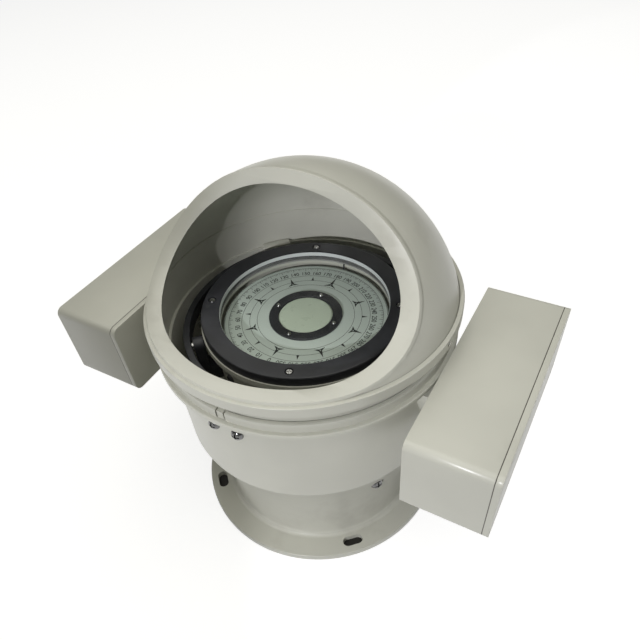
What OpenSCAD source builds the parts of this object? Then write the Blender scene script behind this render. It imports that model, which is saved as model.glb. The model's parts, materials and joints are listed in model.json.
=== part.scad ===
// Liquid-filled desk compass: hooded binnacle, gimballed bowl, two soft-iron corrector boxes.
// The origin is the centre of the base's underside. +Z is up, the hood opens towards -Y,
// the ship's bow is +Y and the corrector boxes lie athwartships on the X axis.

/* [Card and bowl] */
// Diameter of the compass card
card_d = 130; // [110:1:150]
// Thickness of the card
card_t = 0.8; // [0.6:0.1:1.5]
// Radial gap between the card and the bowl's wall
card_gap = 6; // [5:0.5:10]
// Thickness of the bowl's wall
bowl_wall = 3; // [2:0.5:4]
// Depth of the bowl from its top face to its underside
bowl_h = 68.5; // [62:0.5:76]
// Width of the bezel's top face
bezel_w = 14.6; // [13:0.2:18]
// Height of the bezel
bezel_h = 7.8; // [6.5:0.1:10]
// Thickness of the top glass
glass_t = 4; // [3:0.5:5]
// Diameter of the float under the card
float_d = 62; // [56:1:70]

/* [Gimbal] */
// Height of the two gimbal axes below the casing's rim
pivot_drop = 2.5; // [0:0.5:8]
// Radial thickness of the bowl's pivot arms
arm_t = 8; // [6:0.5:10]
// Width of the pivot arms and of their round tops
arm_w = 13; // [12:0.5:16]
// Radial thickness of the gimbal ring
gimbal_w = 5.6; // [5:0.2:9]
// Height of the gimbal ring
gimbal_h = 11; // [9:0.5:14]
// Diameter of the pivot pins
pin_d = 6; // [4:0.5:7]
// Radial running clearance of a pivot pin in its bore
pin_clear = 0.05; // [0.02:0.01:0.1]

/* [Binnacle] */
// Diameter of the base flange
base_d = 226; // [216:1:250]
// Thickness of the base flange
base_t = 6; // [5:0.5:10]
// Outer diameter of the pedestal's neck
neck_d = 181; // [174:1:190]
// Height at which the neck starts to flare
flare_z = 20; // [14:1:30]
// Height of the seam between the pedestal and the drum
drum_z = 102; // [98:1:120]
// Height of the casing's rim
rim_z = 189.5; // [186:0.5:210]
// Thickness of the cast walls
wall = 4; // [3:0.5:5]
// Space left for the gimbal ring to swing inside the drum
swing_gap = 9.5; // [8.5:0.5:16]
// Overhang of the casing's rim beyond the drum
rim_w = 8; // [6:0.5:12]
// Height of the raised lip on the rim
lip_h = 7.5; // [6:0.5:10]
// Pitch circle of the deck slots
slot_pcd = 204; // [200:1:220]
// End-to-end length of a deck slot
slot_l = 18; // [14:1:26]
// Width of a deck slot
slot_w = 9; // [7:0.5:11]

/* [Hood] */
// Overhang of the hood's ring beyond the casing's rim
ring_over = 1.5; // [1:0.5:6]
// Height of the hood's ring
ring_h = 9; // [8:0.5:14]
// Gap between the casing's lip and the hood's ring
ring_gap = 13; // [6:0.5:18]
// Thickness of the dome's wall
dome_wall = 5; // [4:0.5:6]
// Height of the ring's top above the dome's centre
dome_drop = 29.2; // [24:0.2:34]
// Radius of the sweep that cuts the viewing opening
view_r = 100; // [90:1:110]
// Distance that the sweep reaches behind the hood's axis
view_back = 6.5; // [0:0.5:12]
// Thickness of the rim round the viewing opening
trim_t = 2.5; // [2:0.5:4]

/* [Corrector boxes] */
// Width of a box, athwartships
box_w = 62.5; // [50:0.5:80]
// Length of a box, fore and aft
box_l = 172; // [150:1:190]
// Height of a box
box_h = 68; // [60:1:80]
// Gap between the drum and a box
box_gap = 9.85; // [9:0.05:16]
// Height of a box's centre
box_z = 166; // [160:1:176]
// Thickness of a box's cover plate
cover_t = 4.5; // [4:0.5:7]
// Thickness of the boxes' sheet
sheet = 2; // [1.5:0.5:2.5]
// Outer bend radius of the boxes
bend_r = 6; // [5:0.5:9]
// Number of soft-iron plates in a box
iron_n = 6; // [1:1:8]

/* [Hidden] */

$fn = 96;
eps = 0.01;
seat = 0.2;          // clearance of pieces that are dropped into one another

// Paint and metal colours
cream = [0.77, 0.76, 0.69];
satin_black = [0.11, 0.11, 0.13];
card_green = [0.66, 0.71, 0.68];
bright_steel = [0.72, 0.72, 0.7];
brass = [0.72, 0.58, 0.3];
dark_iron = [0.3, 0.3, 0.31];

// Radii, worked out from the card outwards
card_r = card_d / 2;
bowl_bore = card_r + card_gap;
bowl_r = bowl_bore + bowl_wall;
bezel_bore = card_r + 0.9;
bezel_r = bezel_bore + bezel_w;
flange_r = bezel_r + 1;
glass_r = bezel_bore + 4.1;
bezel_screw_r = (glass_r + bezel_r) / 2 - 1.5;
arm_in = flange_r + 0.5;
arm_out = arm_in + arm_t;
gimbal_bore = arm_out + 1.4;
gimbal_r = gimbal_bore + gimbal_w;
drum_bore = gimbal_r + swing_gap;
drum_r = drum_bore + wall;
rim_r = drum_r + rim_w;
lip_r = drum_r + 4.5;
lip_t = 3.2;
spigot_r = lip_r - lip_t - 0.6;
hood_bore = spigot_r - 2.5;
dome_r = rim_r + 1.4;
dome_bore = dome_r - dome_wall;
ring_r = rim_r + ring_over;

// Heights
pivot_z = rim_z - pivot_drop;
bowl_top = pivot_z + 9.5;
flange_t = 5;
gasket_t = 1.2;
glass_z = bowl_top;
bezel_top = bowl_top + bezel_h;
ledge_t = 2.5;
card_z = pivot_z + 3.5;
card_under = card_z - card_t;
bowl_under = bowl_top - bowl_h;
rim_t = 4.5;
ring_z = rim_z + lip_h + ring_gap;
ring_top = ring_z + ring_h;
dome_z = ring_top - dome_drop;
groove_z = ring_z + 2;

// Gimbal directions: the outer pair lies to the front right, the inner pair across it
outer_axis = -45;
inner_axis = 45;

// Pedestal
base_r = base_d / 2;
neck_r = neck_d / 2;
seam_step = 1.9;                     // how far the drum stands out over the pedestal
flare_top = drum_r - seam_step;
flare_r = (pow(flare_top - neck_r, 2) + pow(drum_z - flare_z, 2)) / (2 * (flare_top - neck_r));
foot_fillet = 5;
shelf_in = drum_bore - 18.5;         // bore of the shelf that carries the drum
floor_in = shelf_in - 28;            // bore of the drum's floor
bolt_r = drum_bore - 10;
bolt_d = 6;

// Magnet rack
rack_z = 65;
rack_h = 22;
rack_half = 52;
rack_arm_w = 20;
rack_arm_h = 12;
rack_screw_z = rack_z + rack_h / 2;
rack_screw_d = 6;
magnet_d = 8;
magnet_l = 96;
magnet_pitches = [-38, -24, 24, 38];
used_pitches = [-38, 38];
tube_r = 14;
tube_wall = 1.5;
tube_z = 20;
bucket_h = 30;
lift = 35;                           // travel of the heeling magnet

// Lamp
lamp_az = -92;
lamp_arc = 20;                       // angle that the curved bracket covers
lamp_screw_z = pivot_z - 16;
lamp_screw_x = 10.3;
lamp_foot_z = drum_z + 8;
lamp_r = drum_bore - 16.5;

// Bowl's lower chamber
chamber_r = 52;
chamber_bore = 45;
chamber_h = 10;
cone_h = 22;
step_z = bowl_under + 13;            // step that carries the pivot bridge
pin_tip = card_z - 6.6;

// Card
window_r = 21.56;
clamp_r = 29.1;
clamp_t = 1.8;
cap_r = 8;
float_under = card_under - 16.7;

// Boxes
box_in = drum_r + box_gap;
box_y = -2.5;
iron_t = 6;
iron_gap = 0.3;                      // paint between the plates
tongue = 8;                          // depth to which a cover reaches into its box
tongue_t = 2;
cover_screw_pitch = 62;

// Viewing opening: a level sweep that runs into a flat front
trim_top = ring_top + trim_t;
view_z = trim_top + view_r;
view_y = view_back - view_r;

// Screw with a round head and a cross recess: the head's seat is at z = 0, the shank points down
module cross_screw(d, len, head_d, head_h) {
    difference() {
        union() {
            cylinder(d1 = head_d, d2 = head_d * 0.72, h = head_h);
            translate([0, 0, -len]) cylinder(d = d, h = len + eps);
        }
        for (a = [0, 90]) rotate([0, 0, a])
            translate([-head_d * 0.32, -head_d * 0.06, head_h * 0.4])
                cube([head_d * 0.64, head_d * 0.12, head_h]);
    }
}

// Hexagon bolt: the head's seat is at z = 0, the shank points down
module hex_bolt(d, len, across, head_h) {
    cylinder(d = across / cos(30), h = head_h, $fn = 6);
    translate([0, 0, -len]) cylinder(d = d, h = len + eps);
}

// Turns +Z to point outwards along +X at radius r, height z and angle a
module radial(a, r, z) {
    rotate([0, 0, a]) translate([r, 0, z]) rotate([0, 90, 0]) children();
}

// Flare of the pedestal: the band between its outer curve and a curve set in by t
module flare_band(t) {
    intersection() {
        translate([0, flare_z]) square([flare_top + eps, drum_z - flare_z]);
        translate([neck_r + flare_r, flare_z]) difference() {
            circle(r = flare_r + t, $fn = 720);
            circle(r = flare_r, $fn = 720);
        }
    }
}

// Space inside the pedestal, less a gap
module pedestal_bore(gap) {
    rotate_extrude() intersection() {
        translate([0, flare_z]) square([flare_top, drum_z - flare_z]);
        difference() {
            translate([0, flare_z]) square([flare_top, drum_z - flare_z]);
            translate([neck_r + flare_r, flare_z]) circle(r = flare_r + wall + gap, $fn = 720);
        }
    }
}

module slot_cut(len, w, h) {
    for (s = [-1, 1]) translate([0, s * (len - w) / 2, 0]) cylinder(d = w, h = h);
    translate([-w / 2, -(len - w) / 2, 0]) cube([w, len - w, h]);
}

module pedestal() {
    edge = 1.2;
    color(cream) difference() {
        rotate_extrude() {
            polygon([[neck_r - wall, 0], [base_r - edge / 2, 0], [base_r, edge / 2],
                [base_r, base_t - edge], [base_r - edge, base_t], [neck_r, base_t],
                [neck_r, flare_z], [neck_r - wall, flare_z]]);
            translate([neck_r, base_t]) difference() {
                square(foot_fillet);
                translate([foot_fillet, foot_fillet]) circle(r = foot_fillet);
            }
            flare_band(wall);
            translate([shelf_in, drum_z - wall]) square([flare_top - shelf_in - wall, wall]);
        }
        for (a = [45:90:315]) rotate([0, 0, a]) translate([slot_pcd / 2, 0, -1])
            slot_cut(slot_l, slot_w, base_t + 2);
        for (a = [0:90:270]) rotate([0, 0, a]) translate([bolt_r, 0, drum_z - wall - 4])
            cylinder(d = bolt_d + 2 * seat, h = wall + 5);
        for (a = [-30, 90, 210]) {
            radial(a, rack_seat_r - 2 * wall, rack_screw_z)
                cylinder(d = rack_screw_d + 2 * seat, h = 3 * wall);
            radial(a, rack_seat_r, rack_screw_z) cylinder(d = 13, h = 20);
        }
    }
}

// Radius of the flared wall at the rack screws' height, less the depth of their seats
rack_seat_r = neck_r + flare_r - sqrt(pow(flare_r, 2) - pow(rack_screw_z - flare_z, 2)) - 1.5;

module casing() {
    foot = 3;
    round_e = 1;
    color(cream) difference() {
        rotate_extrude() polygon([[floor_in, drum_z], [drum_r - seam_step, drum_z],
            [drum_r - 0.5, drum_z + 1.2], [drum_r, drum_z + foot], [drum_r, rim_z - rim_t],
            [rim_r - round_e, rim_z - rim_t], [rim_r, rim_z - rim_t + round_e],
            [rim_r, rim_z - round_e], [rim_r - 0.3, rim_z - 0.3], [rim_r - round_e, rim_z],
            [lip_r, rim_z], [lip_r, rim_z + lip_h - 1.5], [lip_r - 0.4, rim_z + lip_h - 0.4],
            [lip_r - 1.5, rim_z + lip_h], [lip_r - lip_t, rim_z + lip_h], [lip_r - lip_t, rim_z],
            [drum_bore, rim_z], [drum_bore, drum_z + wall], [floor_in, drum_z + wall]]);
        // Notch that takes the hood's key
        translate([-notch_w / 2, -lip_r - 1, rim_z]) cube([notch_w, lip_t + 2, lip_h + 1]);
        for (a = [0:90:270]) rotate([0, 0, a]) translate([bolt_r, 0, drum_z - 1])
            cylinder(d = bolt_d + 2 * seat, h = wall + 2);
        for (s = [-1, 1]) radial(lamp_az + s * lamp_screw_turn, drum_bore - 2, lamp_screw_z)
            cylinder(d = 4 + 2 * seat, h = wall + 4);
        for (a = [outer_axis, outer_axis + 180], s = [-1, 1])
            radial(a + s * block_turn, drum_bore - 1, block_screw_z)
                cylinder(d = 4, h = wall - 0.5);
        for (side = [0, 180], s = [-1, 1], z = saddle_bolt_z)
            rotate([0, 0, side]) translate([drum_bore - 12, s * saddle_bolt_y, z])
                rotate([0, 90, 0]) cylinder(d = bolt_d + 2 * seat, h = wall + 24);
    }
}

notch_w = 7.6;
lamp_screw_turn = asin(lamp_screw_x / drum_r);
block_w = 24;
block_in = gimbal_r + 1.5;
block_turn = asin(7.5 / drum_bore);
block_screw_z = pivot_z - 13;
saddle_bolt_y = 12;
saddle_bolt_z = [box_z - 12, box_z + 4];

module casing_bolts() {
    color(bright_steel) for (a = [0:90:270]) rotate([0, 0, a])
        translate([bolt_r, 0, drum_z + wall]) hex_bolt(bolt_d, 2 * wall + 3, 10, 4);
}

// Curved strip on the drum's inner wall, with a foot that carries the lamp
module lamp_bracket() {
    strip = 2;
    back = drum_bore - 0.1;
    color(cream) difference() {
        rotate([0, 0, lamp_az - lamp_arc / 2]) rotate_extrude(angle = lamp_arc) {
            translate([back - strip, lamp_foot_z]) square([strip, lamp_screw_z + 7 - lamp_foot_z]);
            translate([lamp_r - 12, lamp_foot_z]) square([back - lamp_r + 12, strip]);
        }
        for (s = [-1, 1]) radial(lamp_az + s * lamp_screw_turn, back - strip - 5, lamp_screw_z)
            cylinder(d = 4 + 2 * seat, h = 12);
    }
}

module lamp_bracket_screws() {
    color(bright_steel) for (s = [-1, 1])
        radial(lamp_az + s * lamp_screw_turn, drum_r + 0.1, lamp_screw_z)
            cross_screw(4, wall + 3.5, 9.5, 2.8);
}

module lamp_holder() {
    color(satin_black) rotate([0, 0, lamp_az]) translate([lamp_r, 0, lamp_foot_z + 2]) {
        cylinder(d = 15, h = 4);
        cylinder(d = 12, h = 12);
    }
}

module lamp_bulb() {
    color([0.95, 0.93, 0.85]) rotate([0, 0, lamp_az]) translate([lamp_r, 0, lamp_foot_z + 14]) {
        cylinder(d = 8, h = 5);
        translate([0, 0, 5]) sphere(d = 8);
    }
}

// Block with two levels of cross holes, on three arms that reach the pedestal's wall
module magnet_rack() {
    color(dark_iron) difference() {
        union() {
            translate([-rack_half, -rack_half, rack_z]) cube([2 * rack_half, 2 * rack_half, rack_h]);
            intersection() {
                for (a = [-30, 90, 210]) rotate([0, 0, a])
                    translate([0, -rack_arm_w / 2, rack_screw_z - rack_arm_h / 2])
                        cube([drum_r, rack_arm_w, rack_arm_h]);
                pedestal_bore(seat);
            }
        }
        translate([0, 0, rack_z - 1]) cylinder(r = tube_r + seat, h = rack_h + 2);
        for (p = magnet_pitches) {
            translate([-rack_half - 1, p, rack_z + rack_h * 0.73]) rotate([0, 90, 0])
                cylinder(d = magnet_d + 2 * seat, h = 2 * rack_half + 2);
            translate([p, rack_half + 1, rack_z + rack_h * 0.27]) rotate([90, 0, 0])
                cylinder(d = magnet_d + 2 * seat, h = 2 * rack_half + 2);
        }
        for (a = [-30, 90, 210]) radial(a, rack_seat_r - 19, rack_screw_z)
            cylinder(d = rack_screw_d + 2 * seat, h = 40);
    }
}

module rack_screws() {
    color(bright_steel) for (a = [-30, 90, 210]) radial(a, rack_seat_r, rack_screw_z)
        cross_screw(rack_screw_d, 18, 10.5, 3.2);
}

module athwart_magnets() {
    color(dark_iron) for (p = used_pitches) translate([-magnet_l / 2, p, rack_z + rack_h * 0.73])
        rotate([0, 90, 0]) cylinder(d = magnet_d, h = magnet_l);
}

module fore_aft_magnets() {
    color(dark_iron) for (p = used_pitches) translate([p, magnet_l / 2, rack_z + rack_h * 0.27])
        rotate([90, 0, 0]) cylinder(d = magnet_d, h = magnet_l);
}

// Closed at the foot, hung by its collar on the rack
module heeling_tube() {
    color(brass) rotate_extrude() polygon([[0, tube_z], [tube_r, tube_z], [tube_r, rack_z + rack_h],
        [tube_r + 4, rack_z + rack_h], [tube_r + 4, rack_z + rack_h + 2.5],
        [tube_r - tube_wall, rack_z + rack_h + 2.5], [tube_r - tube_wall, tube_z + 2],
        [0, tube_z + 2]]);
}

module magnet_bucket() {
    r = tube_r - tube_wall - 0.5;
    color(brass) translate([0, 0, tube_z + 2]) difference() {
        cylinder(r = r, h = bucket_h);
        translate([0, 0, 2]) cylinder(r = r - 2, h = bucket_h);
    }
}

module heeling_magnet() {
    color(dark_iron) translate([0, 0, tube_z + 4]) cylinder(r = tube_r - tube_wall - 2.7, h = 24);
}

// Pedestal bearings for the gimbal ring, curved to the drum's wall
module bearing_blocks() {
    color(cream) for (a = [outer_axis, outer_axis + 180]) difference() {
        intersection() {
            rotate([0, 0, a]) translate([block_in, -block_w / 2, pivot_z - 18])
                cube([wall * 5, block_w, 24]);
            translate([0, 0, pivot_z - 20]) cylinder(r = drum_bore - 0.1, h = 40);
        }
        radial(a, block_in - 1, pivot_z) cylinder(d = pin_d, h = swing_gap - 3);
        for (s = [-1, 1]) radial(a + s * block_turn, block_in - 2, block_screw_z)
            cylinder(d = 4 + 2 * seat, h = 20);
    }
}

module bearing_block_screws() {
    color(bright_steel) for (a = [outer_axis, outer_axis + 180], s = [-1, 1])
        rotate([0, 0, a + s * block_turn]) translate([block_in, 0, block_screw_z])
            rotate([0, -90, 0]) cross_screw(3.8, drum_bore - block_in + 2, 7, 1.2);
}

module outer_pivot_pins() {
    color(bright_steel) for (a = [outer_axis, outer_axis + 180])
        radial(a, gimbal_bore + 0.8, pivot_z) cylinder(d = pin_d, h = block_in + swing_gap - 5 - gimbal_bore);
}

module gimbal_ring() {
    color(satin_black) difference() {
        rotate_extrude() translate([gimbal_bore, pivot_z - gimbal_h / 2])
            polygon([[0, 0.8], [0.8, 0], [gimbal_w - 0.8, 0], [gimbal_w, 0.8],
                [gimbal_w, gimbal_h - 0.8], [gimbal_w - 0.8, gimbal_h], [0.8, gimbal_h],
                [0, gimbal_h - 0.8]]);
        for (a = [outer_axis, outer_axis + 180]) radial(a, gimbal_bore - 2, pivot_z)
            cylinder(d = pin_d + 2 * pin_clear, h = gimbal_w + 4);
        for (a = [inner_axis, inner_axis + 180]) radial(a, gimbal_bore - 2, pivot_z)
            cylinder(d = pin_d, h = gimbal_w + 4);
    }
}

module inner_pivot_pins() {
    color(bright_steel) for (a = [inner_axis, inner_axis + 180])
        radial(a, arm_in + 1.5, pivot_z) cylinder(d = pin_d, h = gimbal_r - arm_in - 2);
}

// Round-topped uprights on the bowl's side, each with a foot that reaches the wall
module pivot_arms() {
    foot_h = 15;
    drop = 34;
    color(satin_black) for (a = [inner_axis, inner_axis + 180]) difference() {
        rotate([0, 0, a]) {
            translate([arm_in, 0, pivot_z]) rotate([0, 90, 0]) cylinder(d = arm_w, h = arm_t);
            translate([arm_in, -arm_w / 2, pivot_z - drop]) cube([arm_t, arm_w, drop]);
            translate([bowl_bore, -arm_w / 2, pivot_z - drop])
                cube([arm_in - bowl_bore + eps, arm_w, foot_h]);
        }
        translate([0, 0, pivot_z - drop - 1]) cylinder(r = bowl_r, h = foot_h + 2);
        radial(a, arm_in - 2, pivot_z) cylinder(d = pin_d + 2 * pin_clear, h = arm_t + 4);
        for (z = arm_screw_z) radial(a, bowl_bore, z) cylinder(d = 4 + 2 * seat, h = 30);
    }
}

arm_screw_z = [pivot_z - 30.5, pivot_z - 22.5];

module arm_screws() {
    color(bright_steel) for (a = [inner_axis, inner_axis + 180], z = arm_screw_z)
        radial(a, arm_out, z) cross_screw(4, arm_out - bowl_bore - 1, 6.5, 1.6);
}

module bowl_shell() {
    recess = glass_r + 0.3;
    shoulder = bowl_under + chamber_h + cone_h;
    color(cream) difference() {
        rotate_extrude() polygon([[chamber_bore, bowl_under], [chamber_r, bowl_under],
            [chamber_r, bowl_under + chamber_h], [bowl_r, shoulder], [bowl_r, bowl_top - flange_t],
            [flange_r, bowl_top - flange_t], [flange_r, bowl_top], [recess, bowl_top],
            [recess, bowl_top - gasket_t], [bezel_bore + 0.7, bowl_top - gasket_t],
            [bezel_bore + 0.7, bowl_top - gasket_t - ledge_t],
            [bowl_bore, bowl_top - gasket_t - ledge_t - card_gap / 2], [bowl_bore, shoulder + 1],
            [chamber_bore + 4, step_z], [chamber_bore, step_z]]);
        for (a = [22:90:292]) rotate([0, 0, a]) translate([bezel_screw_r, 0, bowl_top - flange_t + 0.6])
            cylinder(d = 3 + 2 * seat, h = flange_t);
        for (a = [inner_axis, inner_axis + 180], z = arm_screw_z)
            radial(a, bowl_bore + 0.8, z) cylinder(d = 4 + 2 * seat, h = 10);
        radial(plug_az, bowl_bore - 5, plug_z) cylinder(d = 6 + 2 * seat, h = 20);
        at_ring_screws() translate([0, 0, -1]) cylinder(d = 3 + 2 * seat, h = 7);
    }
}

module at_ring_screws() {
    for (a = [0:60:300]) rotate([0, 0, a])
        translate([(chamber_r + chamber_bore) / 2, 0, bowl_under]) children();
}

plug_az = -113;
plug_z = pivot_z - 17;

module glass_gasket() {
    color([0.1, 0.1, 0.1]) translate([0, 0, bowl_top - gasket_t]) difference() {
        cylinder(r = glass_r, h = gasket_t);
        translate([0, 0, -1]) cylinder(r = bezel_bore + 0.7, h = gasket_t + 2);
    }
}

module top_glass() {
    color([0.8, 0.9, 0.88, 0.3]) translate([0, 0, glass_z]) cylinder(r = glass_r, h = glass_t);
}

module bezel() {
    edge = 1;
    color(satin_black) difference() {
        rotate_extrude() polygon([[glass_r + 0.2, bowl_top], [bezel_r, bowl_top],
            [bezel_r, bezel_top - edge], [bezel_r - edge * 0.4, bezel_top - 0.3],
            [bezel_r - edge, bezel_top], [bezel_bore + edge, bezel_top],
            [bezel_bore, bezel_top - edge], [bezel_bore, glass_z + glass_t],
            [glass_r + 0.2, glass_z + glass_t]]);
        for (a = [22:90:292]) rotate([0, 0, a]) translate([bezel_screw_r, 0, bowl_top - 1]) {
            cylinder(d = 3 + 2 * seat, h = bezel_h + 2);
            translate([0, 0, bezel_h - 0.8]) cylinder(d = 6.4, h = 5);
        }
    }
}

module bezel_screws() {
    color(bright_steel) for (a = [22:90:292]) rotate([0, 0, a])
        translate([bezel_screw_r, 0, bezel_top - 1.8])
            cross_screw(3, bezel_h + flange_t - 3.5, 5.8, 1.6);
}

// Fin on the bowl's ledge that marks the ship's head
module lubber_pointer() {
    color(satin_black) intersection() {
        translate([-0.6, card_r + 0.5, card_z - 4]) cube([1.2, 3, bowl_top - gasket_t - card_z + 4]);
        cylinder(r = bezel_bore + 0.7, h = bowl_top);
    }
}

module filler_plug() {
    color(brass) radial(plug_az, bowl_r + 0.1, plug_z) cross_screw(6, bowl_wall, 9, 1.6);
}

// Bar across the lower chamber, with the boss that holds the pivot
module pivot_bridge() {
    color(brass) {
        intersection() {
            translate([-chamber_r, -6, step_z]) cube([2 * chamber_r, 12, 4]);
            cylinder(r = chamber_bore + 3.6, h = rim_z);
        }
        translate([0, 0, step_z + 4 - eps]) cylinder(d1 = 14, d2 = 9, h = 6);
    }
}

module pivot_pin() {
    color(bright_steel) translate([0, 0, step_z + 10]) {
        cylinder(r = 2.5, h = pin_tip - step_z - 24);
        translate([0, 0, pin_tip - step_z - 24]) cylinder(r1 = 2.5, r2 = 1, h = 10);
        translate([0, 0, pin_tip - step_z - 14]) cylinder(r1 = 1, r2 = 0.3, h = 4);
    }
}

// Corrugated metal disc that lets the liquid expand
module expansion_diaphragm() {
    t = 0.8;
    inner = 22;
    color(brass) difference() {
        rotate_extrude() {
            translate([inner, bowl_under - t]) square([chamber_r - inner, t]);
            for (r = [28:6:40]) translate([r, bowl_under - eps]) intersection() {
                circle(r = 2, $fn = 32);
                translate([-2, 0]) square([4, 2]);
            }
        }
        at_ring_screws() translate([0, 0, -3]) cylinder(d = 3 + 2 * seat, h = 6);
    }
}

module bottom_glass() {
    color([0.8, 0.9, 0.88, 0.3]) translate([0, 0, bowl_under - 0.8 - 3]) cylinder(r = 26, h = 3);
}

module bottom_ring() {
    color(satin_black) difference() {
        translate([0, 0, bowl_under - 4.8]) cylinder(r = chamber_r, h = 4);
        translate([0, 0, bowl_under - 3.8]) cylinder(r = 26 + seat, h = 4);
        translate([0, 0, bowl_under - 6]) cylinder(r = 22, h = 8);
        at_ring_screws() translate([0, 0, -6]) cylinder(d = 3 + 2 * seat, h = 7);
    }
}

module bottom_ring_screws() {
    color(bright_steel) at_ring_screws() translate([0, 0, -4.8]) mirror([0, 0, 1])
        cross_screw(3, 9, 5.4, 1.6);
}

// Lead ring that keeps the bowl level
module balance_weight() {
    color(dark_iron) rotate_extrude() translate([chamber_r, bowl_under])
        polygon([[0, 0], [10, 0], [10, chamber_h - 2], [0, chamber_h - 2]]);
}

module card_disc() {
    color(card_green) difference() {
        translate([0, 0, card_under]) cylinder(r = card_r, h = card_t);
        translate([0, 0, card_under - 1]) cylinder(r = window_r + 1.5, h = card_t + 2);
    }
}

module card_float() {
    r = float_d / 2;
    h = card_under - float_under;
    color(card_green) rotate_extrude() translate([0, float_under])
        polygon([[cap_r, 0], [r - 4, 0], [r - 1.2, 1.2], [r, 4], [r, h - 7], [r - 5, h],
            [cap_r, h]]);
}

module jewel_cap() {
    color(brass) difference() {
        translate([0, 0, pin_tip - 4]) cylinder(r = cap_r, h = 6);
        translate([0, 0, pin_tip - 4 - eps]) cylinder(r1 = 3, r2 = 0.6, h = 4.3);
    }
}

module card_magnets() {
    for (s = [-1, 1]) color(dark_iron) translate([s * 16 - 3, -27, float_under - 5]) cube([6, 54, 5]);
}

module card_window() {
    color([0.7, 0.74, 0.66]) rotate_extrude() polygon([[0, card_under], [window_r + 1.4, card_under],
        [window_r + 1.4, card_z], [window_r - 0.4, card_z], [window_r - 0.4, card_z + 0.6],
        [window_r - 1.2, card_z + 1.1], [0, card_z + 1.2]]);
}

module card_clamp_ring() {
    color(satin_black) difference() {
        rotate_extrude() translate([0, card_z]) polygon([[window_r, 0], [clamp_r, 0],
            [clamp_r, clamp_t - 0.4], [clamp_r - 0.4, clamp_t], [window_r + 0.4, clamp_t],
            [window_r, clamp_t - 0.4]]);
        for (a = [0:90:270]) rotate([0, 0, a]) translate([(window_r + clamp_r) / 2, 0, card_z - 1])
            cylinder(d = 2 + 2 * seat, h = 5);
    }
}

module card_clamp_screws() {
    color(bright_steel) for (a = [0:90:270]) rotate([0, 0, a])
        translate([(window_r + clamp_r) / 2, 0, card_z + clamp_t]) cross_screw(2, clamp_t, 3.2, 0.8);
}

// Space that the viewing opening clears, grown by g
module view_cut(g) {
    reach = 2 * dome_r;
    translate([-reach / 2, view_y, view_z]) rotate([0, 90, 0])
        cylinder(r = view_r + g, h = reach, $fn = 240);
    translate([-reach / 2, -reach, trim_top - g]) cube([reach, reach + view_y, reach]);
}

module dome_ball(r) {
    translate([0, 0, dome_z]) sphere(r = r, $fn = 160);
}

module hood_dome() {
    color(cream) difference() {
        dome_ball(dome_r);
        dome_ball(dome_bore);
        translate([0, 0, groove_z - dome_r * 2]) cylinder(r = dome_r + 1, h = dome_r * 2);
        difference() {
            view_cut(trim_t);
            cylinder(r = dome_r + 1, h = ring_top);
        }
        for (a = hood_screw_az) radial(a, hood_screw_tip - 0.1, hood_screw_z)
            cylinder(d = 4 + 2 * seat, h = 6);
    }
}

// Flat rim that follows the edge of the viewing opening and lies on the ring at the front
module hood_trim() {
    color(cream) intersection() {
        difference() {
            dome_ball(dome_r + 1);
            dome_ball(dome_bore - 4.5);
        }
        difference() {
            view_cut(trim_t);
            view_cut(0);
        }
        translate([0, 0, ring_top]) cylinder(r = dome_r + 2, h = 2 * dome_r);
    }
}

module hood_ring() {
    edge = 0.8;
    groove_out = sqrt(pow(dome_r, 2) - pow(groove_z - dome_z, 2)) + seat;
    groove_in = sqrt(pow(dome_bore, 2) - pow(ring_top - dome_z, 2)) - seat;
    color(cream) difference() {
        union() {
            rotate_extrude() polygon([[hood_bore, rim_z], [spigot_r, rim_z], [spigot_r, ring_z],
                [ring_r - edge, ring_z], [ring_r, ring_z + edge], [ring_r, ring_top - edge],
                [ring_r - edge, ring_top], [groove_in - 0.6, ring_top], [hood_bore, ring_z]]);
            // Key that drops into the notch of the casing's lip
            translate([-key_w / 2, -lip_r + 0.3, rim_z + 0.4])
                cube([key_w, lip_r - spigot_r + 0.5, lip_h - 0.6]);
        }
        translate([0, 0, groove_z - seat]) difference() {
            cylinder(r = groove_out, h = ring_h);
            translate([0, 0, -1]) cylinder(r = groove_in, h = ring_h + 2);
        }
        for (a = hood_screw_az) radial(a, groove_out - 1, hood_screw_z) cylinder(d = 4 + 2 * seat, h = 6);
    }
}

key_w = 5.2;
hood_screw_az = [-4, 116, 236];
hood_screw_z = ring_z + ring_h * 0.55;
hood_screw_tip = sqrt(pow(dome_r, 2) - pow(hood_screw_z - dome_z, 2)) - 2;

module hood_set_screws() {
    len = ring_r - hood_screw_tip - 0.6;
    color(dark_iron) for (a = hood_screw_az) radial(a, hood_screw_tip, hood_screw_z) difference() {
        cylinder(d = 4, h = len);
        translate([-3, -0.4, len - 1]) cube([6, 0.8, 2]);
    }
}

// Outline of a box seen from the side, set in by t
module box_outline(t) {
    r = max(bend_r - t, 0.5);
    half_l = box_l / 2 - t;
    half_h = box_h / 2 - t;
    difference() {
        square([2 * half_h, 2 * half_l], center = true);
        for (u = [-1, 1], v = [-1, 1]) translate([u * half_h, v * half_l]) difference() {
            square(2 * r, center = true);
            translate([-u * r, -v * r]) circle(r = r);
        }
    }
}

// Puts an outline drawn in height and length into a box, d from its port side
module in_box(side, d) {
    port_side = side > 0 ? box_in : -box_in - box_w;
    translate([port_side + d, box_y, box_z]) rotate([0, 90, 0]) children();
}

module at_cover_screws(side) {
    in_box(side, box_w - cover_t - tongue / 2) for (i = [-1:1])
        translate([box_h / 2, i * cover_screw_pitch, 0]) rotate([0, 90, 0]) children();
}

module at_saddle_bolts(side) {
    for (z = saddle_bolt_z, s = [-1, 1]) translate([0, s * saddle_bolt_y, z])
        rotate([0, side * 90, 0]) children();
}

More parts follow.
